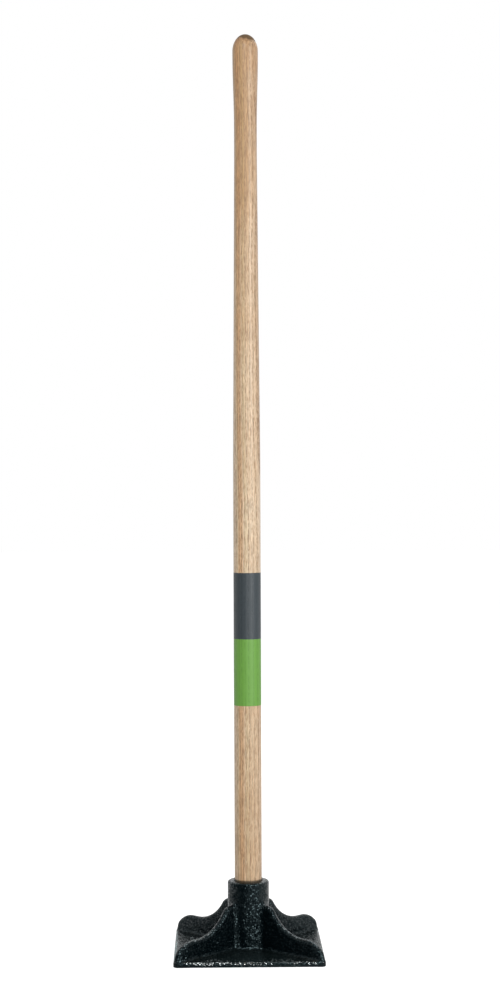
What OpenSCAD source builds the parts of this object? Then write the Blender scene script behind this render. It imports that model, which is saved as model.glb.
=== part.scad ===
// Hand tamper: a cast head with a handle socket, a long wooden handle and two coloured wraps around it.
// Millimetres. The ground is z = 0, the handle stands along +Z and the front of the tool faces -Y.

/* [Plate] */
// Side of the square plate
plate_w = 203.2; // [180:0.1:260]
// Thickness of the plate
plate_t = 6.5; // [5:0.5:12]
// Radius of the plate's corners, seen from above
plate_corner_r = 7; // [4:0.5:12]
// Chamfer around the plate's upper and lower edges
plate_edge = 1; // [0.5:0.25:2]

/* [Socket] */
// Outer diameter of the socket
socket_d = 57; // [50:0.5:64]
// Height of the socket's rim above the ground
head_h = 96; // [90:1:120]
// Height of the floor that the handle stands on
socket_floor = 43; // [20:1:50]
// Chamfer around the outside of the rim
rim_chamfer = 2.25; // [0.5:0.25:3]
// Lead-in chamfer at the mouth of the bore
mouth_chamfer = 1.2; // [0.5:0.1:2]
// Radius of the cove between the socket and the plate
cove_r = 6; // [3:0.5:10]
// Gap between the handle's foot and the bore, on each side
socket_clearance = 0.3; // [0.1:0.05:0.8]

/* [Ribs] */
// Thickness of each rib
rib_t = 9.5; // [6:0.5:14]
// Height of a rib where it leaves the socket
rib_shoulder_h = 65.5; // [60:0.5:72]
// Level stretch of a rib next to the socket
rib_shoulder_len = 8; // [4:0.5:10]
// Radius of the shoulder that rounds over from that stretch
rib_shoulder_r = 14; // [10:0.5:20]
// Radius of the hollow below the shoulder
rib_hollow_r = 62; // [50:0.5:66]
// Height of a rib's level outer stretch
rib_level_h = 31; // [27:0.5:35]
// Radius of the round nose at a rib's outer end
rib_nose_r = 36; // [30:0.5:40]
// Distance that a nose's curve runs past the plate's corner, where the rib is trimmed
rib_nose_over = 2.3; // [0:0.1:4]
// Radius of the fillet along the foot of a rib
rib_root_r = 4; // [2:0.5:6]

/* [Handle] */
// Length of the handle, foot to knob
handle_len = 1219.2; // [1000:0.1:1500]
// Diameter of the straight lower part
shaft_d = 37.5; // [34:0.5:40]
// Diameter of the foot at its lower end
foot_d = 34; // [30:0.5:36]
// Chamfer at the lower end of the foot
foot_chamfer = 1.5; // [0.5:0.25:3]
// Length of the taper between the straight part and the neck
taper_len = 420; // [300:5:450]
// Diameter of the neck below the knob
neck_d = 31.4; // [28:0.1:33]
// Length of the neck
neck_len = 40; // [10:1:60]
// Length of the flare between the neck and the knob
flare_len = 100; // [60:1:120]
// Diameter of the knob
knob_d = 35.2; // [32:0.1:38]
// Straight stretch of the knob under its dome
knob_len = 6; // [2:0.5:20]
// Height of the knob's dome
dome_h = 23; // [15:0.5:30]

/* [Label] */
// Height of the wraps' lower edge above the ground
label_z = 337.5; // [200:0.5:420]
// Height of the lower wrap
label_lower_h = 91.5; // [60:0.5:100]
// Height of the upper wrap
label_upper_h = 91; // [60:0.5:100]
// Thickness of the film
label_t = 0.1; // [0.08:0.01:0.11]
// Width of the lap where a wrap meets itself at the rear
label_lap = 10; // [5:1:15]

/* [Screw] */
// Distance from the socket's rim down to the screw
screw_drop = 18; // [12:1:26]
// Diameter of the screw's thread
screw_d = 5; // [4:0.25:6]
// Diameter of the screw's head
screw_head_d = 9.5; // [8:0.25:11]
// Length of the screw, head to tip
screw_len = 30; // [22:1:34]
// Length of the screw's pointed tip
screw_tip_len = 6; // [4:0.5:8]
// Depth of the screw's head below the crown of the socket wall
screw_sink = 0.6; // [0.6:0.1:1.5]
// Gap between the screw and its holes, on each side
screw_clearance = 0.1; // [0.05:0.05:0.3]
// Width of the cross slots in the head
slot_w = 1.2; // [0.8:0.1:1.6]
// Length of the cross slots in the head
slot_len = 5.4; // [4:0.2:6]
// Depth of the cross slots in the head
slot_depth = 1.8; // [1:0.1:2]

/* [Hidden] */
$fn = 96;
lap = 1;
bite = 0.05;
socket_r = socket_d / 2;
shaft_r = shaft_d / 2;
foot_r = foot_d / 2;
neck_r = neck_d / 2;
knob_r = knob_d / 2;
screw_r = screw_d / 2;
screw_head_r = screw_head_d / 2;
handle_top = socket_floor + handle_len;
dome_z = handle_top - dome_h;
flare_z = dome_z - knob_len - flare_len;
neck_z = flare_z - neck_len;
taper_z = neck_z - taper_len;
flare_steps = 12;
dome_steps = 14;
corner_mid = plate_w / 2 - plate_corner_r;
corner_reach = corner_mid * sqrt(2) + plate_corner_r;
shoulder_s = socket_r + rib_shoulder_len;
shoulder_z = rib_shoulder_h - rib_shoulder_r;
hollow_z = rib_level_h + rib_hollow_r - bite;
turn_r = rib_shoulder_r + rib_hollow_r - bite;
hollow_s = shoulder_s + sqrt(turn_r * turn_r - (hollow_z - shoulder_z) * (hollow_z - shoulder_z));
turn_share = (rib_shoulder_r - bite / 2) / turn_r;
turn_s = shoulder_s + (hollow_s - shoulder_s) * turn_share;
turn_z = shoulder_z + (hollow_z - shoulder_z) * turn_share;
nose_z = rib_level_h - rib_nose_r;
nose_reach = sqrt(rib_nose_r * rib_nose_r - (plate_t - nose_z) * (plate_t - nose_z));
nose_s = corner_reach + rib_nose_over - nose_reach;
root_w = rib_t / 2 + rib_root_r;
lap_angle = label_lap / shaft_r * 180 / PI;
screw_z = head_h - screw_drop;
head_face_y = socket_r - screw_sink;
screw_cone_h = screw_head_r - screw_r;

function ease(t) = (1 - cos(180 * t)) / 2;

foot_points = [
    [0, socket_floor],
    [foot_r - foot_chamfer, socket_floor],
    [foot_r, socket_floor + foot_chamfer],
    [shaft_r, head_h],
    [shaft_r, taper_z],
    [neck_r, neck_z]
];
flare_points = [
    for (i = [0:flare_steps])
        [neck_r + (knob_r - neck_r) * ease(i / flare_steps), flare_z + flare_len * i / flare_steps]
];
dome_points = [
    for (i = [0:dome_steps])
        [knob_r * cos(90 * i / dome_steps), dome_z + dome_h * sin(90 * i / dome_steps)]
];

// Square plate with rounded corners and chamfered edges
module plate() {
    for (turn = [0, 90])
        rotate([0, 0, turn])
            translate([0, corner_mid, 0])
                rotate([90, 0, 0])
                    linear_extrude(2 * corner_mid)
                        polygon([
                            [-plate_w / 2 + plate_edge, 0],
                            [plate_w / 2 - plate_edge, 0],
                            [plate_w / 2, plate_edge],
                            [plate_w / 2, plate_t - plate_edge],
                            [plate_w / 2 - plate_edge, plate_t],
                            [-plate_w / 2 + plate_edge, plate_t],
                            [-plate_w / 2, plate_t - plate_edge],
                            [-plate_w / 2, plate_edge]
                        ]);
    for (x = [-1, 1], y = [-1, 1])
        translate([x * corner_mid, y * corner_mid, 0])
            rotate_extrude()
                polygon([
                    [0, 0],
                    [plate_corner_r - plate_edge, 0],
                    [plate_corner_r, plate_edge],
                    [plate_corner_r, plate_t - plate_edge],
                    [plate_corner_r - plate_edge, plate_t],
                    [0, plate_t]
                ]);
}

// Outline of the plate from above, inside its chamfer
module plate_plan() {
    square([plate_w - 2 * plate_edge, 2 * corner_mid], center = true);
    square([2 * corner_mid, plate_w - 2 * plate_edge], center = true);
    for (x = [-1, 1], y = [-1, 1])
        translate([x * corner_mid, y * corner_mid])
            circle(plate_corner_r - plate_edge);
}

// Side view of a rib: level next to the socket, over a shoulder, down a hollow, out to a round nose
module rib_outline() {
    difference() {
        union() {
            translate([0, plate_t - lap])
                square([nose_s, rib_level_h - plate_t + lap]);
            intersection() {
                translate([nose_s, nose_z])
                    circle(rib_nose_r);
                translate([nose_s - lap, plate_t - lap])
                    square([rib_nose_r + lap, rib_nose_r + plate_t]);
            }
            polygon([[0, plate_t], [hollow_s, plate_t], [hollow_s, rib_level_h], [turn_s, turn_z], [0, turn_z]]);
            square([shoulder_s, rib_shoulder_h]);
            translate([shoulder_s, shoulder_z])
                circle(rib_shoulder_r);
        }
        translate([hollow_s, hollow_z])
            circle(rib_hollow_r);
        translate([-lap, -lap])
            square([corner_reach + 2 * lap, plate_t]);
    }
}

// Rib with fillets along its foot
module rib() {
    rotate([90, 0, 0])
        translate([0, 0, -rib_t / 2])
            linear_extrude(rib_t)
                rib_outline();
    rotate([90, 0, 90])
        linear_extrude(corner_reach - root_w - plate_edge)
            difference() {
                translate([-root_w, plate_t - lap])
                    square([2 * root_w, rib_root_r + lap]);
                for (side = [-1, 1])
                    translate([side * root_w, plate_t + rib_root_r])
                        circle(rib_root_r);
            }
}

// The four ribs on the plate's diagonals, trimmed to the plate
module ribs() {
    intersection() {
        union()
            for (turn = [45:90:315])
                rotate([0, 0, turn])
                    rib();
        linear_extrude(head_h)
            plate_plan();
    }
}

// Outside of the socket with its cove, down into the plate
module socket_body() {
    rotate_extrude()
        difference() {
            union() {
                polygon([
                    [0, plate_t - lap],
                    [socket_r, plate_t - lap],
                    [socket_r, head_h - rim_chamfer],
                    [socket_r - rim_chamfer, head_h],
                    [0, head_h]
                ]);
                translate([0, plate_t - lap])
                    square([socket_r + cove_r, cove_r + lap]);
            }
            translate([socket_r + cove_r, plate_t + cove_r])
                circle(cove_r);
        }
}

// Tapered bore for the handle's foot
module socket_bore() {
    bore_floor_r = foot_r + socket_clearance;
    bore_mouth_r = shaft_r + socket_clearance;
    translate([0, 0, socket_floor])
        cylinder(h = head_h - socket_floor, r1 = bore_floor_r, r2 = bore_mouth_r);
    translate([0, 0, head_h - mouth_chamfer])
        cylinder(h = mouth_chamfer + lap, r1 = bore_mouth_r, r2 = bore_mouth_r + mouth_chamfer + lap);
}

// Screw body with its head outward, grown by a gap on each side
module screw_body(gap) {
    translate([0, head_face_y, screw_z])
        rotate([90, 0, 0])
            rotate_extrude()
                polygon([
                    [0, 0],
                    [screw_head_r + gap, 0],
                    [screw_r + gap, screw_cone_h],
                    [screw_r + gap, screw_len - screw_tip_len],
                    [gap, screw_len],
                    [0, screw_len + gap]
                ]);
}

// Clear way for the screw's head, out through the socket wall
module screw_mouth() {
    translate([0, head_face_y, screw_z])
        rotate([-90, 0, 0])
            cylinder(h = screw_sink + lap, r = screw_head_r + screw_clearance);
}

// Film around the straight part of the handle, lapped at the rear
module wrap(z, h) {
    rotate_extrude()
        translate([shaft_r, z])
            square([label_t, h]);
    rotate([0, 0, 90 - lap_angle / 2])
        rotate_extrude(angle = lap_angle)
            translate([shaft_r + label_t / 2, z])
                square([1.5 * label_t, h]);
}

// Iron casting: plate, ribs and socket in one piece
module tamper_head() {
    color([0.13, 0.15, 0.155])
        difference() {
            union() {
                plate();
                socket_body();
                ribs();
            }
            socket_bore();
            screw_body(screw_clearance);
            screw_mouth();
        }
}

// Turned handle with its foot in the socket and a pilot hole for the screw
module handle() {
    color([0.78, 0.66, 0.52])
        difference() {
            rotate_extrude()
                polygon(concat(foot_points, flare_points, dome_points));
            screw_body(screw_clearance);
        }
}

// Countersunk screw with a cross recess
module retaining_screw() {
    color([0.62, 0.62, 0.6])
        difference() {
            screw_body(0);
            for (turn = [0, 90])
                translate([0, head_face_y, screw_z])
                    rotate([90, turn, 0])
                        translate([-slot_len / 2, -slot_w / 2, -lap])
                            cube([slot_len, slot_w, slot_depth + lap]);
        }
}

// Upper wrap, slate
module label_upper() {
    color([0.3, 0.33, 0.36])
        wrap(label_z + label_lower_h, label_upper_h);
}

// Lower wrap, green
module label_lower() {
    color([0.42, 0.63, 0.29])
        wrap(label_z, label_lower_h);
}

tamper_head();
handle();
retaining_screw();
label_upper();
label_lower();
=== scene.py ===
import math

import bpy
import numpy as np
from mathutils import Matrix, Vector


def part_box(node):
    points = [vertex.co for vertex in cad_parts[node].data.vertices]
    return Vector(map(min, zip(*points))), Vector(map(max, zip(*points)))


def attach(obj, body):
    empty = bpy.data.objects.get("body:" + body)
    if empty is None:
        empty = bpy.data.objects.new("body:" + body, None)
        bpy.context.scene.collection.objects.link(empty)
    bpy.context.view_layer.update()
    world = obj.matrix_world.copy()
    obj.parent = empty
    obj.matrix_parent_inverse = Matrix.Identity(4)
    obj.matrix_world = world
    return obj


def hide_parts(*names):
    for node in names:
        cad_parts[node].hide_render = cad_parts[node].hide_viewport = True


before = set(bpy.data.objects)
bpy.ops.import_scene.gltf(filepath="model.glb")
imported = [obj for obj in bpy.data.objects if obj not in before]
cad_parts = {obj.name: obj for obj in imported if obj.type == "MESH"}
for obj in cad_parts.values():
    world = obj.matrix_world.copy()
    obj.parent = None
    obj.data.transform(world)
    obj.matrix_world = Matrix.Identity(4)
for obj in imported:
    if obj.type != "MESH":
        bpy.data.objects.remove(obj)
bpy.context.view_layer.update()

scene = bpy.context.scene


# Tamper head: one iron casting of a square plate, four ribs on its diagonals and a handle socket.
# Sand cast, so its edges are rounded and its corners filleted, then coated all over with a dark
# speckled paint. The socket is bored for the handle and drilled at the rear for a screw.
MM = 0.001
head_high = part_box("tamper_head")[1]
plate_half, plate_top, plate_corner = round(head_high.x / MM, 2), 6.5, 7.0
edge_round, sole_round = 3.0, 0.8
socket_r, rim_z, rim_round, lip_round = 28.5, round(head_high.z / MM, 2), 3.3, 1.2
bore_floor_z, bore_floor_r, bore_mouth_r = 43.0, 17.3, 19.05
rib_half, rib_draft, rib_round, rib_inset = 4.5, 0.025, 4.3, 0.8
shoulder_s, shoulder_z, shoulder_r = 36.5, 51.5, 14.0
hollow_s, hollow_z, hollow_r = 100.2, 93.0, 62.0
level_z, nose_s, nose_z, nose_r = 31.0, 109.0, -5.0, 36.0
foot_fillet, socket_fillet = 4.0, 6.0
screw_y, screw_z, screw_head_r, screw_hole_r = 27.9, 78.0, 4.85, 2.6
screw_tip_y, screw_edge_round = 8.0, 0.25


# Each form gives how far a point lies outside it, in millimetres, and less than zero inside
def eased_edge(a, b, r):
    """What lies inside both a and b, with the edge where they meet rounded."""
    inside = np.minimum(np.maximum(a, b) + r, 0)
    return inside + np.hypot(np.maximum(a + r, 0), np.maximum(b + r, 0)) - r


def filleted(a, b, r):
    """What lies inside a or b, with the corner where they meet filled."""
    return np.maximum(np.minimum(a, b), r) - np.hypot(np.maximum(r - a, 0), np.maximum(r - b, 0))


def rib_top(s, z):
    """What lies below the top of a rib, which runs out over a shoulder, a hollow, a level and a nose."""
    shoulder = np.hypot(s - shoulder_s, z - shoulder_z) - shoulder_r
    hollow = hollow_r - np.hypot(s - hollow_s, z - hollow_z)
    nose = np.hypot(s - nose_s, z - nose_z) - nose_r
    above_turn = (hollow_s - shoulder_s) * (z - shoulder_z) > (hollow_z - shoulder_z) * (s - shoulder_s)
    top = np.where(above_turn, shoulder, hollow)
    top = np.where(s < shoulder_s, z - shoulder_z - shoulder_r, top)
    top = np.where(s > hollow_s, z - level_z, top)
    return np.where(s > nose_s, nose, top)


def casting(x, y, z):
    """The whole head, with s out along the ribs' diagonals and u across them."""
    ax, ay = np.abs(x), np.abs(y)
    qx, qy = ax - plate_half + plate_corner, ay - plate_half + plate_corner
    past_corner = np.hypot(np.maximum(qx, 0), np.maximum(qy, 0))
    outline = past_corner + np.minimum(np.maximum(qx, qy), 0) - plate_corner
    plate = eased_edge(eased_edge(outline, z - plate_top, edge_round), -z, sole_round)
    reach = np.hypot(x, y)
    socket = eased_edge(reach - socket_r, z - rim_z, rim_round)
    s, u = (ax + ay) / math.sqrt(2), np.abs(ax - ay) / math.sqrt(2)
    side = u - rib_half - rib_draft * np.maximum(level_z - z, 0)
    rib = eased_edge(eased_edge(rib_top(s, z), side, rib_round), outline + rib_inset, rib_round)
    stem = np.maximum(filleted(socket, rib, socket_fillet), plate_top / 2 - z)
    solid = np.maximum(filleted(stem, plate, foot_fillet), outline)
    up_bore = np.maximum((z - bore_floor_z) / (rim_z - bore_floor_z), 0)
    bore = np.maximum(reach - bore_floor_r - (bore_mouth_r - bore_floor_r) * up_bore, bore_floor_z - z)
    solid = eased_edge(solid, -bore, lip_round)
    sunk = screw_y - y
    hole = np.hypot(x, z - screw_z) - np.clip(screw_head_r - sunk, screw_hole_r, screw_head_r)
    return eased_edge(solid, -np.maximum(hole, screw_tip_y - y), screw_edge_round)


def graded(*stops):
    """Grid lines from the first stop on, where each two numbers that follow are a spacing and its end."""
    lines = [stops[0]]
    for step, end in zip(stops[1::2], stops[2::2]):
        count = max(1, round((end - lines[-1]) / step))
        lines += list(np.linspace(lines[-1], end, count + 1)[1:])
    return np.array(lines)


def cell_points(grid, field):
    """One point in each grid cell that the surface cuts, and the number of each cell's point or -1."""
    cells = tuple(n - 1 for n in field.shape)

    def corner(values, step):
        return values[tuple(slice(k, k + n) for k, n in zip(step, cells))]

    total, hits = np.zeros(cells + (3,)), np.zeros(cells)
    for axis in range(3):
        for i, j in ((0, 0), (0, 1), (1, 0), (1, 1)):
            low = [i, j]
            low.insert(axis, 0)
            high = list(low)
            high[axis] = 1
            f0, f1 = corner(field, low), corner(field, high)
            cross = (f0 < 0) != (f1 < 0)
            t = np.where(cross, f0 / np.where(cross, f0 - f1, 1), 0)
            for c in range(3):
                p0, p1 = corner(grid[c], low), corner(grid[c], high)
                total[..., c] += np.where(cross, p0 + t * (p1 - p0), 0)
            hits += cross
    cut = hits > 0
    number = np.full(cells, -1)
    number[cut] = np.arange(cut.sum())
    return total[cut] / hits[cut][:, None], number


def cell_quads(field, number):
    """One quad around each grid edge that the surface crosses, turned to face outwards."""
    quads = []
    for axis in range(3):
        a, b = [k for k in range(3) if k != axis]
        first, second = [slice(1, -1)] * 3, [slice(1, -1)] * 3
        first[axis], second[axis] = slice(0, -1), slice(1, None)
        inside = field[tuple(first)] < 0
        cross = inside != (field[tuple(second)] < 0)
        at = np.argwhere(cross)
        at[:, a] += 1
        at[:, b] += 1
        ring = []
        for da, db in ((-1, -1), (0, -1), (0, 0), (-1, 0)):
            cell = at.copy()
            cell[:, a] += da
            cell[:, b] += db
            ring.append(number[tuple(cell.T)])
        ring = np.stack(ring, 1)
        flip = inside[cross] if axis == 1 else ~inside[cross]
        ring[flip] = ring[flip][:, ::-1]
        quads.append(ring)
    return np.concatenate(quads)


def settled(form, points):
    """Points brought onto the surface of a form, along its slope."""
    probe, least_slope, passes = 1e-3, 0.2, 3
    for _ in range(passes):
        away = form(*points.T)
        slope = [form(*(points + probe * e).T) - form(*(points - probe * e).T) for e in np.eye(3)]
        slope = np.stack(slope, 1) / (2 * probe)
        points = points - slope * (away / np.maximum((slope ** 2).sum(1), least_slope))[:, None]
    return points


def skin(form, xs, ys, zs, rounds):
    """Points and quads over the surface of a form, evened out by some rounds of easing."""
    ease = 0.5
    grid = np.meshgrid(xs, ys, zs, indexing="ij")
    field = form(*grid)
    points, number = cell_points(grid, field)
    quads = cell_quads(field, number)
    first, second = np.concatenate([quads[:, [k, (k + 1) % 4]] for k in range(4)]).T
    count = len(points)
    neighbours = np.bincount(first, minlength=count) + np.bincount(second, minlength=count)
    points = settled(form, points)
    for _ in range(rounds):
        mean = np.zeros_like(points)
        for c in range(3):
            mean[:, c] = np.bincount(first, points[second, c], count)
            mean[:, c] += np.bincount(second, points[first, c], count)
        points = settled(form, points + ease * (mean / neighbours[:, None] - points))
    return points, quads


def shaped(name, points, faces):
    """A smooth piece from points in millimetres."""
    mesh = bpy.data.meshes.new(name)
    mesh.from_pydata((np.asarray(points) * MM).tolist(), [], [list(map(int, f)) for f in faces])
    mesh.validate()
    mesh.shade_smooth()
    piece = bpy.data.objects.new(name, mesh)
    scene.collection.objects.link(piece)
    return piece


# The grid is close at the plate's edges, the socket's middle, the screw and the rim
fine, coarse, rib_step, stem_step = 0.8, 1.6, 1.4, 1.7
edge_band, middle, plate_band, rib_band, screw_band, rim_band = 8.0, 7, 2.3, 3, 6, 4
past_edge = round(plate_half + fine, 2)
in_edge = past_edge - edge_band
plan = graded(-past_edge, fine, -in_edge, coarse, -middle, fine,
              middle, coarse, in_edge, fine, past_edge)
rise = graded(-fine, fine, plate_top + plate_band, rib_step, level_z + rib_band,
              stem_step, screw_z - screw_band, fine, screw_z + screw_band,
              coarse, rim_z - rim_band, fine, rim_z + fine)
points, faces = skin(casting, plan, plan, rise, rounds=4)
points[:, 2] = np.maximum(points[:, 2], 0)
head = shaped("painted_head", points, faces)
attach(head, "root")
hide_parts("tamper_head")

# The paint is thin along the plate's edge, where the surface bends most
probe, thin_bend, thin_range, plate_margin = 0.4, 0.16, 0.17, 1.0
steps = probe * np.concatenate([np.eye(3), -np.eye(3)])
bend = sum(casting(*(points + step).T) for step in steps) / probe ** 2
low_down = np.clip(plate_top + plate_margin - points[:, 2], 0, 1)
thin_paint = head.data.attributes.new("thin_paint", "FLOAT", "POINT")
thin_paint.data.foreach_set("value", np.clip((bend - thin_bend) / thin_range, 0, 1) * low_down)


def place(tree, kind, inputs, **settings):
    """A shader node; each input is a value or another node's output."""
    node = tree.nodes.new("ShaderNode" + kind)
    for name, value in settings.items():
        setattr(node, name, value)
    for name, value in inputs.items():
        if isinstance(value, bpy.types.NodeSocket):
            tree.links.new(value, node.inputs[name])
        else:
            node.inputs[name].default_value = value
    return node


def reckon(tree, operation, first, second=0.0):
    """One sum with values."""
    return place(tree, "Math", {0: first, 1: second}, operation=operation).outputs[0]


def steer(tree, operation, *vectors):
    """One sum with vectors."""
    return place(tree, "VectorMath", dict(enumerate(vectors)), operation=operation).outputs[0]


def spread(tree, value, low, high, to_low, to_high):
    """A value carried over from one range to another, and held at its ends."""
    inputs = {"Value": value, "From Min": low, "From Max": high, "To Min": to_low, "To Max": to_high}
    return place(tree, "MapRange", inputs).outputs[0]


def tint(tree, share, first, second, blend="MIX"):
    """One colour over another, by a share of 0 to 1."""
    node = place(tree, "Mix", {0: share, 6: first, 7: second}, data_type="RGBA", blend_type=blend)
    return node.outputs[2]


def effect(name, inputs, outputs):
    """An empty node group with value inputs, as name and default, and value outputs."""
    group = bpy.data.node_groups.new(name, "ShaderNodeTree")
    for label, value in inputs.items():
        socket = group.interface.new_socket(label, in_out="INPUT", socket_type="NodeSocketFloat")
        socket.default_value = value
    for label in outputs:
        group.interface.new_socket(label, in_out="OUTPUT", socket_type="NodeSocketFloat")
    return group, group.nodes.new("NodeGroupInput"), group.nodes.new("NodeGroupOutput")


def finish_of(name):
    """A new material, with its nodes and its shader."""
    material = bpy.data.materials.new(name)
    material.use_nodes = True
    return material, material.node_tree, material.node_tree.nodes["Principled BSDF"]


# Slow unevenness of a finish, between a low and a high value, in patches of about a given size in metres
noise_low, noise_high = 0.3, 0.7
unevenness, given, result = effect("unevenness", {"Size": 0.02, "Low": 0.0, "High": 1.0}, ["Value"])
where = place(unevenness, "TexCoord", {}).outputs["Object"]
rate = reckon(unevenness, "DIVIDE", 1.0, given.outputs["Size"])
cloud = place(unevenness, "TexNoise", {"Vector": where, "Scale": rate, "Detail": 3.0}).outputs[0]
level = spread(unevenness, cloud, noise_low, noise_high, given.outputs["Low"], given.outputs["High"])
unevenness.links.new(level, result.inputs["Value"])


def uneven(tree, size, low, high):
    """The unevenness as one finish uses it."""
    inputs = {"Size": size, "Low": low, "High": high}
    return place(tree, "Group", inputs, node_tree=unevenness).outputs["Value"]


# Paint with flakes that lie at all angles, over the dimples of the casting, with sizes in metres
stir_rate, stir_reach = 260.0, 0.0016
dimple_size, dimple_depth, dimple_blend = 0.0026, 0.0003, 0.7
fleck_size, fleck_tilt, fleck_blend = 0.0014, 0.60, 0.2
gloss_patch, gloss_low, gloss_high = 0.012, 0.06, 0.12
worn_size, worn_patch, worn_least, wear_glint_left, wear_glint_right = 0.0013, 0.026, 0.03, 0.45, 0.06
wear_glint_left_x, wear_glint_right_x = -0.02, 0.03
dust_top_light_patch, dust_top_light_least, dust_top_light_slope, dust_top_light_level = 0.010, 0.3, 0.75, 0.98
paint_dark, dust_and_top_light = (0.0006, 0.0022, 0.0032, 1), (0.0066, 0.0106, 0.0108, 1)
worn_iron = (0.55, 0.58, 0.58, 1)
head_paint, tree, shader = finish_of("dark_hammered_paint")
coords = place(tree, "TexCoord", {}).outputs
where = coords["Object"]
here = place(tree, "SeparateXYZ", {"Vector": where}).outputs
stir = place(tree, "TexNoise", {"Vector": where, "Scale": stir_rate, "Detail": 1.0}).outputs["Color"]
swirl = steer(tree, "MULTIPLY_ADD", stir, (stir_reach,) * 3, where)
cells = {"Vector": swirl, "Scale": 1 / dimple_size, "Smoothness": dimple_blend}
dimples = place(tree, "TexVoronoi", cells, feature="SMOOTH_F1").outputs["Distance"]
cells = {"Vector": swirl, "Scale": 1 / fleck_size, "Smoothness": fleck_blend}
flecks = place(tree, "TexVoronoi", cells, feature="SMOOTH_F1").outputs["Color"]
specks = place(tree, "TexVoronoi", {"Vector": swirl, "Scale": 1 / worn_size}).outputs["Color"]
lot = place(tree, "SeparateColor", {"Color": specks}).outputs[0]
edge = place(tree, "Attribute", {}, attribute_name="thin_paint").outputs["Fac"]
# Bare iron specks where the paint is worn along the edge, with more of them to the left: that crowding is a
# painted highlight where the lamps catch the edge
wear_and_glint = spread(tree, here["X"], wear_glint_left_x, wear_glint_right_x, wear_glint_left, wear_glint_right)
wear_and_glint = reckon(tree, "MULTIPLY", edge, uneven(tree, worn_patch, worn_least, wear_and_glint))
worn_and_glint = reckon(tree, "GREATER_THAN", lot, reckon(tree, "SUBTRACT", 1.0, wear_and_glint))
bump = place(tree, "Bump", {"Height": reckon(tree, "MULTIPLY", dimples, dimples), "Distance": dimple_depth})
tilt = steer(tree, "SUBTRACT", flecks, (0.5,) * 3)
tilt = steer(tree, "MULTIPLY_ADD", tilt, (fleck_tilt,) * 3, bump.outputs[0])
# Upward faces low on the plate are painted paler: partly dust, and partly a painted top light that stands
# in for light from above
upward = place(tree, "SeparateXYZ", {"Vector": coords["Normal"]}).outputs["Z"]
dust_top_light_low, dust_top_light_high = (plate_top + plate_margin) * MM, (plate_top + foot_fillet) * MM
on_plate = spread(tree, here["Z"], dust_top_light_low, dust_top_light_high, 1.0, 0.0)
dust_and_top_light_share = reckon(tree, "MULTIPLY", spread(tree, upward, dust_top_light_slope, dust_top_light_level, 0.0, 1.0), on_plate)
dust_and_top_light_share = reckon(tree, "MULTIPLY", dust_and_top_light_share, uneven(tree, dust_top_light_patch, dust_top_light_least, 1.0))
paint = tint(tree, dust_and_top_light_share, paint_dark, dust_and_top_light)
tree.links.new(tint(tree, worn_and_glint, paint, worn_iron), shader.inputs["Base Color"])
tree.links.new(worn_and_glint, shader.inputs["Metallic"])
tree.links.new(uneven(tree, gloss_patch, gloss_low, gloss_high), shader.inputs["Roughness"])
tree.links.new(steer(tree, "NORMALIZE", tilt), shader.inputs["Normal"])
shader.inputs["Specular IOR Level"].default_value = 0.36
shader.inputs["Specular Tint"].default_value = (0.68, 0.95, 1.0, 1)
head.data.materials.append(head_paint)


# Handle: one turned length of straight-grained ash under a thin clear coat. Its tapered foot stands on
# the floor of the socket; above it the shaft is straight, thins to a neck and ends in a domed knob.
handle_top = round(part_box("handle")[1].z / MM, 2)
dome_h, knob_len, flare_len, neck_len, taper_len = 23.0, 6.0, 100.0, 40.0, 420.0
foot_r, shaft_r, neck_r, knob_r = 17.0, 18.75, 15.7, 17.6
foot_z, foot_chamfer = bore_floor_z, 1.5
dome_z = handle_top - dome_h
knob_z = dome_z - knob_len
flare_z = knob_z - flare_len
neck_z = flare_z - neck_len
taper_z = neck_z - taper_len
turns, dome_rows, first_ring, neck_ring = 96, 24, 50, 1093
foot_step, shaft_step, knob_step = 6, 11.5, 5


def handle_radius(z):
    """The radius to which the handle is turned at a height."""
    if z < rim_z:
        return foot_r + (shaft_r - foot_r) * (z - foot_z) / (rim_z - foot_z)
    if z < neck_z:
        return shaft_r + (neck_r - shaft_r) * max(z - taper_z, 0) / (neck_z - taper_z)
    if z < knob_z:
        t = max(z - flare_z, 0) / (knob_z - flare_z)
        return neck_r + (knob_r - neck_r) * (1 - math.cos(math.pi * t)) / 2
    return knob_r


rings = [(foot_r - foot_chamfer, foot_z), (foot_r, foot_z + foot_chamfer)]
heights = graded(first_ring, foot_step, rim_z, shaft_step, neck_ring, knob_step, dome_z)
rings += [(handle_radius(z), z) for z in heights]
for row in range(1, dome_rows):
    lift = math.radians(90 * row / dome_rows)
    rings.append((knob_r * math.cos(lift), dome_z + dome_h * math.sin(lift)))
points, faces = [], []
for r, z in rings:
    for k in range(turns):
        turn = 2 * math.pi * k / turns
        points.append((r * math.cos(turn), r * math.sin(turn), z))
for row in range(len(rings) - 1):
    for k in range(turns):
        a, b = row * turns + k, row * turns + (k + 1) % turns
        faces.append((a, b, b + turns, a + turns))
points += [(0, 0, foot_z), (0, 0, handle_top)]
last = (len(rings) - 1) * turns
for k in range(turns):
    faces.append((len(points) - 2, (k + 1) % turns, k))
    faces.append((len(points) - 1, last + k, last + (k + 1) % turns))
handle = shaped("ash_handle", points, faces)
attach(handle, "root")
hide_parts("handle")

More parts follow.
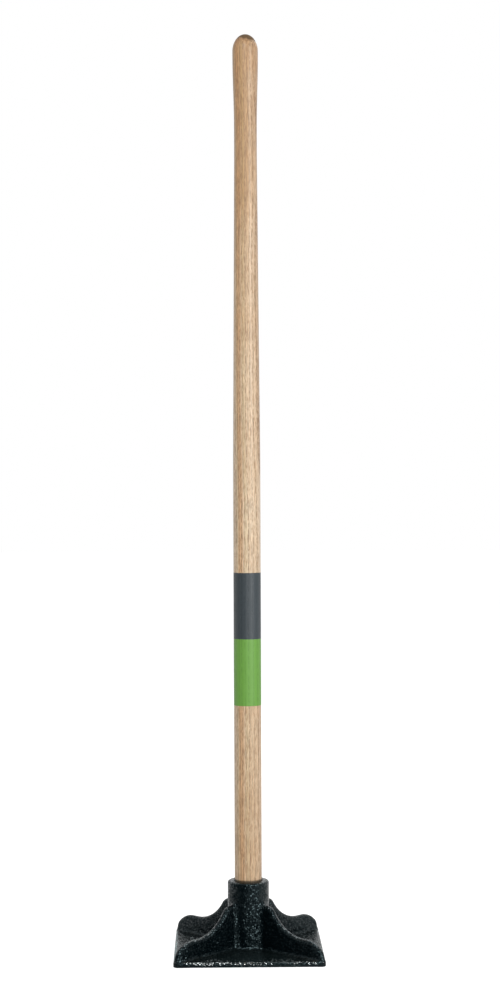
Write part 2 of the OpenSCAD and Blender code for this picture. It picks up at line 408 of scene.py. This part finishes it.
# Straight ash grain cut from beside the heart of a stem: yearly rings that each have their own tone, a
# broken line of open pores where each begins, finer pores between and fine fibre. Each grain is given
# by its counts per metre, across the handle and along it
heart_at, heart_lean = (0.070, -0.025, 0), (0.003, 0.004, 0)
slow_grain, fine_grain, dash_grain = (8, 2.5), (45, 20), (520, 190)
fibre_grain, pore_grain = (850, 50), (1050, 130)
slow_bend, fine_bend, season_rate, season_swing = 0.012, 0.0008, 0.6, 0.6
heart_core, heart_end = 0.6, 1.0
gap_level, dash_level, gap_shade, pore_level, pore_full = 0.38, 0.56, 0.15, 0.50, 0.64
year_line = ((0.0, 0.0), (0.03, 1.0), (0.24, 0.9), (0.30, 0.30), (0.70, 0.0), (1.0, 0.0))
ash_grain, given, result = effect("ash_grain", {"Ring Width": 0.0042, "First Year": 150.0, "Heart": 17.6},
                                  ["Line", "Year", "Hue", "Heart", "Fibre", "Pore"])
where = place(ash_grain, "TexCoord", {}).outputs["Object"]


def stretched(tree, vector, across, along, detail=2.0):
    """Noise drawn out along the handle, with its counts per metre across and along."""
    scaled = place(tree, "Mapping", {"Vector": vector, "Scale": (across, across, along)}).outputs[0]
    return place(tree, "TexNoise", {"Vector": scaled, "Scale": 1.0, "Detail": detail})


def shifted(tree, vector, noise, reach):
    """A place moved sideways by a noise, over a reach in metres."""
    centred = steer(tree, "SUBTRACT", noise.outputs["Color"], (0.5,) * 3)
    return steer(tree, "MULTIPLY_ADD", centred, (reach, reach, 0), vector)


def ramped(tree, value, stops, interpolation="LINEAR"):
    """A shade of grey by a value of 0 to 1, through stops of value and shade."""
    node = place(tree, "ValToRGB", {"Fac": value})
    ramp = node.color_ramp
    ramp.interpolation = interpolation
    for element, (position, shade) in zip(ramp.elements, (stops[0], stops[-1])):
        element.position = position
        element.color = (shade, shade, shade, 1)
    for position, shade in stops[1:-1]:
        ramp.elements.new(position).color = (shade, shade, shade, 1)
    return node.outputs[0]


stem = shifted(ash_grain, where, stretched(ash_grain, where, *slow_grain), slow_bend)
stem = shifted(ash_grain, stem, stretched(ash_grain, where, *fine_grain), fine_bend)
in_tree = {"Vector": stem, "Location": heart_at, "Rotation": heart_lean}
stem = place(ash_grain, "Mapping", in_tree).outputs[0]
from_heart = steer(ash_grain, "MULTIPLY", stem, (1, 1, 0))
from_heart = place(ash_grain, "VectorMath", {0: from_heart}, operation="LENGTH").outputs["Value"]
years = reckon(ash_grain, "DIVIDE", from_heart, given.outputs["Ring Width"])
season = {"W": years, "Scale": season_rate, "Detail": 1.0}
season = place(ash_grain, "TexNoise", season, noise_dimensions="1D").outputs[0]
season = spread(ash_grain, season, 0, 1, -season_swing, season_swing)
years = reckon(ash_grain, "ADD", years, season)
line = ramped(ash_grain, reckon(ash_grain, "FRACT", years), year_line)
broken = stretched(ash_grain, where, *dash_grain).outputs[0]
broken = spread(ash_grain, broken, gap_level, dash_level, gap_shade, 1.0)
ash_grain.links.new(reckon(ash_grain, "MULTIPLY", line, broken), result.inputs["Line"])
year = reckon(ash_grain, "ADD", reckon(ash_grain, "FLOOR", years), given.outputs["First Year"])
tone = place(ash_grain, "TexWhiteNoise", {"W": year}, noise_dimensions="1D").outputs
ash_grain.links.new(tone["Value"], result.inputs["Year"])
hue = place(ash_grain, "SeparateColor", {"Color": tone["Color"]}).outputs[1]
ash_grain.links.new(hue, result.inputs["Hue"])
off_heart = reckon(ash_grain, "ABSOLUTE", reckon(ash_grain, "SUBTRACT", years, given.outputs["Heart"]))
near_heart = spread(ash_grain, off_heart, heart_core, heart_end, 1.0, 0.0)
ash_grain.links.new(near_heart, result.inputs["Heart"])
ash_grain.links.new(stretched(ash_grain, where, *fibre_grain).outputs[0], result.inputs["Fibre"])
pore = stretched(ash_grain, where, *pore_grain, detail=1.0).outputs[0]
ash_grain.links.new(spread(ash_grain, pore, pore_level, pore_full, 0.0, 1.0), result.inputs["Pore"])

# Ash that is palest at the middle of the handle, with a painted highlight down the right side above, and
# sizes in metres
ash_pale, ash_tan = (0.735, 0.595, 0.428, 1), (0.480, 0.302, 0.160, 1)
paleness_up = ((0.10, 0.48), (0.28, 0.67), (0.45, 0.88), (0.60, 0.70),
               (0.76, 0.50), (0.86, 0.20), (0.94, 0.15), (0.98, 0.0))
tone_patch, tone_swing = 0.05, 0.12
left_painted_lift, right_painted_shade = 0.12, -0.08
highlight_low_z, highlight_high_z, highlight_left_x, highlight_right_x, highlight_left, highlight_right = 0.80, 1.05, 0.001, 0.007, -0.08, 0.18
dark_year, pale_year = -0.22, 0.05
straw, blush = (0.99, 1.01, 0.94, 1), (1.015, 0.985, 0.99, 1)
ash_heart, heart_share = (0.63, 0.325, 0.143, 1), 0.52
ash_line, line_share, line_depth = (0.26, 0.155, 0.082, 1), 0.75, 0.0001
ash_pore, pore_share = (0.32, 0.170, 0.078, 1), 0.54
fibre_dark, fibre_pale = 0.76, 1.22
ash, tree, shader = finish_of("turned_ash")
grain = place(tree, "Group", {}, node_tree=ash_grain).outputs
coords = place(tree, "TexCoord", {}).outputs
here = place(tree, "SeparateXYZ", {"Vector": coords["Object"]}).outputs
paleness = ramped(tree, reckon(tree, "DIVIDE", here["Z"], handle_top * MM), paleness_up, "EASE")
patch = uneven(tree, tone_patch, -tone_swing, tone_swing)
# The left of the handle is painted paler and the right darker: painted light and shade that evens out how
# the lamps fall across it
side = spread(tree, here["X"], -shaft_r * MM, shaft_r * MM, left_painted_lift, right_painted_shade)
# Above, the right of the handle is painted paler: a painted highlight from the lamp at the right
highlight_aloft = spread(tree, here["Z"], highlight_low_z, highlight_high_z, 0.0, 1.0)
painted_highlight_right = spread(tree, here["X"], highlight_left_x, highlight_right_x, highlight_left, highlight_right)
side = reckon(tree, "ADD", side, reckon(tree, "MULTIPLY", highlight_aloft, painted_highlight_right))
ring = spread(tree, grain["Year"], 0, 1, dark_year, pale_year)
tones = reckon(tree, "ADD", patch, reckon(tree, "ADD", side, ring))
wood = tint(tree, reckon(tree, "ADD", paleness, tones), ash_tan, ash_pale)
wood = tint(tree, 1.0, wood, tint(tree, grain["Hue"], straw, blush), "MULTIPLY")
wood = tint(tree, reckon(tree, "MULTIPLY", grain["Heart"], heart_share), wood, ash_heart)
wood = tint(tree, reckon(tree, "MULTIPLY", grain["Line"], line_share), wood, ash_line)
wood = tint(tree, reckon(tree, "MULTIPLY", grain["Pore"], pore_share), wood, ash_pore)
fibre = spread(tree, grain["Fibre"], noise_low, noise_high, fibre_dark, fibre_pale)
fibre = place(tree, "CombineColor", {0: fibre, 1: fibre, 2: fibre}).outputs[0]
wood = tint(tree, 1.0, wood, fibre, "MULTIPLY")

# Its end grain drinks in dirt: a dark cap on the knob, ragged and lower to the right, with a warm border.
# Just above the rim of the socket the wood is darkened by a painted shade, where it meets the socket
ash_soaked, soaked_share, soaked_from, soaked_full = (0.36, 0.19, 0.085, 1), 0.75, 0.28, 0.50
ash_end, end_share, end_from, end_full = (0.10, 0.062, 0.030, 1), 0.9, 0.41, 0.59
ragged_patch, ragged_swing, cap_lean = 0.004, 0.12, 0.16
rim_painted_shade, rim_shade_share, rim_shade_low, rim_shade_high = (0.035, 0.028, 0.016, 1), 0.9, 1.2, 3.2
ash_smooth, ash_rough, coat = 0.42, 0.58, 0.5
facing = place(tree, "SeparateXYZ", {"Vector": coords["Normal"]}).outputs["Z"]
ragged = uneven(tree, ragged_patch, -ragged_swing, ragged_swing)
raised = reckon(tree, "ADD", reckon(tree, "ABSOLUTE", facing), ragged)
lean = spread(tree, here["X"], -shaft_r * MM, shaft_r * MM, -cap_lean, cap_lean)
soaked = reckon(tree, "SUBTRACT", raised, lean)
soaked = spread(tree, soaked, soaked_from, soaked_full, 0, soaked_share)
wood = tint(tree, soaked, wood, ash_soaked)
end_grain = reckon(tree, "ADD", raised, lean)
end_grain = spread(tree, end_grain, end_from, end_full, 0, end_share)
wood = tint(tree, end_grain, wood, ash_end)
# A painted shade on the wood just above the socket's rim, where the handle goes into the socket
rim_shaded = spread(tree, here["Z"], (rim_z + rim_shade_low) * MM, (rim_z + rim_shade_high) * MM, rim_shade_share, 0)
tree.links.new(tint(tree, rim_shaded, wood, rim_painted_shade), shader.inputs["Base Color"])
rough = reckon(tree, "MAXIMUM", spread(tree, grain["Line"], 0, 1, ash_smooth, ash_rough), end_grain)
tree.links.new(rough, shader.inputs["Roughness"])
tree.links.new(spread(tree, end_grain, 0, end_share, coat, 0), shader.inputs["Coat Weight"])
sunken = reckon(tree, "MULTIPLY", grain["Line"], -1.0)
bump = place(tree, "Bump", {"Height": sunken, "Distance": line_depth})
tree.links.new(bump.outputs[0], shader.inputs["Normal"])
shader.inputs["Specular IOR Level"].default_value = 0.3
shader.inputs["Coat Roughness"].default_value = 0.35
handle.data.materials.append(ash)


# Wraps: two thin satin films glued around the shaft, slate above green, each lapped at the rear.
# They are pressed on, so that the grain of the wood shows through them a little.
film_shade, film_depth = 0.82, 0.00014
film_patch, film_smooth, film_rough = 0.015, 0.36, 0.46
for node, name, film_colour in (
    ("label_upper", "slate_film", (0.0455, 0.058, 0.066, 1)),
    ("label_lower", "green_film", (0.144, 0.345, 0.054, 1)),
):
    film, tree, shader = finish_of(name)
    line = place(tree, "Group", {}, node_tree=ash_grain).outputs["Line"]
    darker = tuple(film_shade * c for c in film_colour[:3]) + (1,)
    tree.links.new(tint(tree, line, film_colour, darker), shader.inputs["Base Color"])
    tree.links.new(uneven(tree, film_patch, film_smooth, film_rough), shader.inputs["Roughness"])
    sunken = reckon(tree, "MULTIPLY", line, -1.0)
    bump = place(tree, "Bump", {"Height": sunken, "Distance": film_depth})
    tree.links.new(bump.outputs[0], shader.inputs["Normal"])
    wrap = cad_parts[node]
    wrap.data.materials.clear()
    wrap.data.materials.append(film)


# Retaining screw: a countersunk wood screw of zinc-plated steel, driven through the rear of the socket
# into the handle, so that the handle stays in its socket.
zinc_patch, zinc_rough, zinc_smooth = 0.002, 0.42, 0.26
zinc_bright, zinc_dull = (0.62, 0.61, 0.58, 1), (0.40, 0.40, 0.39, 1)
zinc, tree, shader = finish_of("zinc_plate")
cloud = uneven(tree, zinc_patch, 0.0, 1.0)
tree.links.new(tint(tree, cloud, zinc_dull, zinc_bright), shader.inputs["Base Color"])
tree.links.new(spread(tree, cloud, 0, 1, zinc_rough, zinc_smooth), shader.inputs["Roughness"])
shader.inputs["Metallic"].default_value = 1.0
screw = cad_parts["retaining_screw"]
screw.data.materials.clear()
screw.data.materials.append(zinc)


# Floor and light: a pale matt floor in a white room whose dark side is behind the camera. A tall lamp
# stands at the front right, a square one and a high one in front, and a large one high behind.
scene.view_settings.view_transform = "Standard"
room_level, room_back, room_front, room_dark, room_bright = 0.56, 0.74, 0.04, -0.3, 0.5
ceiling_low, ceiling_high, ceiling_level = 0.3, 0.8, 0.7
floor_half, floor_pale, floor_glow = 20, 0.55, 0.73
floor_back, floor_left, floor_right = 0.7, 0.04, 0.9
floor_left_x, floor_right_x, floor_front_y, floor_back_y = -0.15, 0.25, -0.3, 0.3


def weigh(tree, share, first, second):
    """One value in place of another, by a share of 0 to 1."""
    return place(tree, "Mix", {0: share, 2: first, 3: second}, data_type="FLOAT").outputs[0]


def rays(tree):
    """Whether a ray comes from the camera, and whether it comes off metal or through glass."""
    ray = place(tree, "LightPath", {}).outputs
    return ray["Is Camera Ray"], reckon(tree, "MAXIMUM", ray["Is Glossy Ray"], ray["Is Transmission Ray"])


world = bpy.data.worlds.new("white_room")
scene.world = world
world.use_nodes = True
tree = world.node_tree
seen, mirrored = rays(tree)
heading = place(tree, "TexCoord", {}).outputs["Generated"]
heading = place(tree, "SeparateXYZ", {"Vector": heading}).outputs
back_or_up = reckon(tree, "ADD", heading["Y"], heading["Z"])
sweep = spread(tree, back_or_up, room_dark, room_bright, room_front, room_back)
ceiling = spread(tree, heading["Z"], ceiling_low, ceiling_high, 1.0, ceiling_level)
level = weigh(tree, mirrored, room_level, reckon(tree, "MULTIPLY", sweep, ceiling))
sky = tree.nodes["Background"].inputs
tree.links.new(weigh(tree, seen, level, 1.0), sky["Strength"])
sky["Color"].default_value = (1, 1, 1, 1)

floor_mesh = bpy.data.meshes.new("floor")
corners = [(x * floor_half, y * floor_half, 0) for x, y in ((-1, -1), (1, -1), (1, 1), (-1, 1))]
floor_mesh.from_pydata(corners, [], [(0, 1, 2, 3)])
floor = bpy.data.objects.new("floor", floor_mesh)
scene.collection.objects.link(floor)
pale = bpy.data.materials.new("pale_floor")
pale.use_nodes = True
tree = pale.node_tree
tree.nodes.clear()
seen, mirrored = rays(tree)
glow = place(tree, "Emission", {"Strength": reckon(tree, "MULTIPLY", seen, floor_glow)})
matt = place(tree, "BsdfDiffuse", {"Color": (floor_pale,) * 3 + (1,)})
lit = place(tree, "AddShader", {0: matt.outputs[0], 1: glow.outputs[0]})
# In reflections the floor glows, dim at the front left and bright to the right and behind: a painted pool
# of light that shows only in glossy surfaces
spot = place(tree, "NewGeometry", {}).outputs["Position"]
spot = place(tree, "SeparateXYZ", {"Vector": spot}).outputs
reflected_front_glow = spread(tree, spot["X"], floor_left_x, floor_right_x, floor_left, floor_right)
painted_floor_glow = spread(tree, spot["Y"], floor_front_y, floor_back_y, reflected_front_glow, floor_back)
painted_floor_glow = place(tree, "Emission", {"Strength": painted_floor_glow})
both = place(tree, "MixShader", {0: mirrored, 1: lit.outputs[0], 2: painted_floor_glow.outputs[0]})
place(tree, "OutputMaterial", {"Surface": both.outputs[0]})
floor.data.materials.append(pale)


def lamp(name, spot, aim, size, power):
    """A soft lamp that faces an aim, with its width and height in metres and its power in watts."""
    data = bpy.data.lights.new(name, "AREA")
    data.shape = "RECTANGLE"
    data.size, data.size_y = size
    data.energy = power
    stand = bpy.data.objects.new(name, data)
    scene.collection.objects.link(stand)
    stand.location = spot
    x, y, z = np.array(aim) - np.array(spot)
    stand.rotation_euler = (math.atan2(math.hypot(x, y), -z), 0, math.atan2(-x, y))


lamp("key_lamp", (1.8, -2.2, 1.1), (0, 0, 0.6), (0.6, 1.6), 32)
lamp("fill_lamp", (0.2, -3.1, 0.9), (0, 0, 0.4), (1.0, 1.0), 15)
lamp("top_lamp", (-0.3, -2.3, 2.5), (0, 0, 0.4), (0.6, 0.5), 20)
lamp("back_lamp", (0.4, 1.7, 3.0), (0, 0, 0.4), (2.0, 2.0), 45)


# Camera: level, with a long lens at the height of the middle of the handle, a little to the left of
# the tool's front and rolled by a trace.
swing, distance, eye_z = math.radians(1.0), 2.60, 0.62
roll, aside = math.radians(0.22), 0.0044
camera = bpy.data.cameras.new("camera")
camera.sensor_width = 36
camera.lens = 67.85
eye = bpy.data.objects.new("camera", camera)
scene.collection.objects.link(eye)
scene.camera = eye
right = np.array([math.cos(swing), -math.sin(swing), 0])
ahead = np.array([math.sin(swing), math.cos(swing), 0])
eye.location = -distance * ahead + aside * right + np.array([0, 0, eye_z])
eye.rotation_euler = (math.radians(90), roll, -swing)
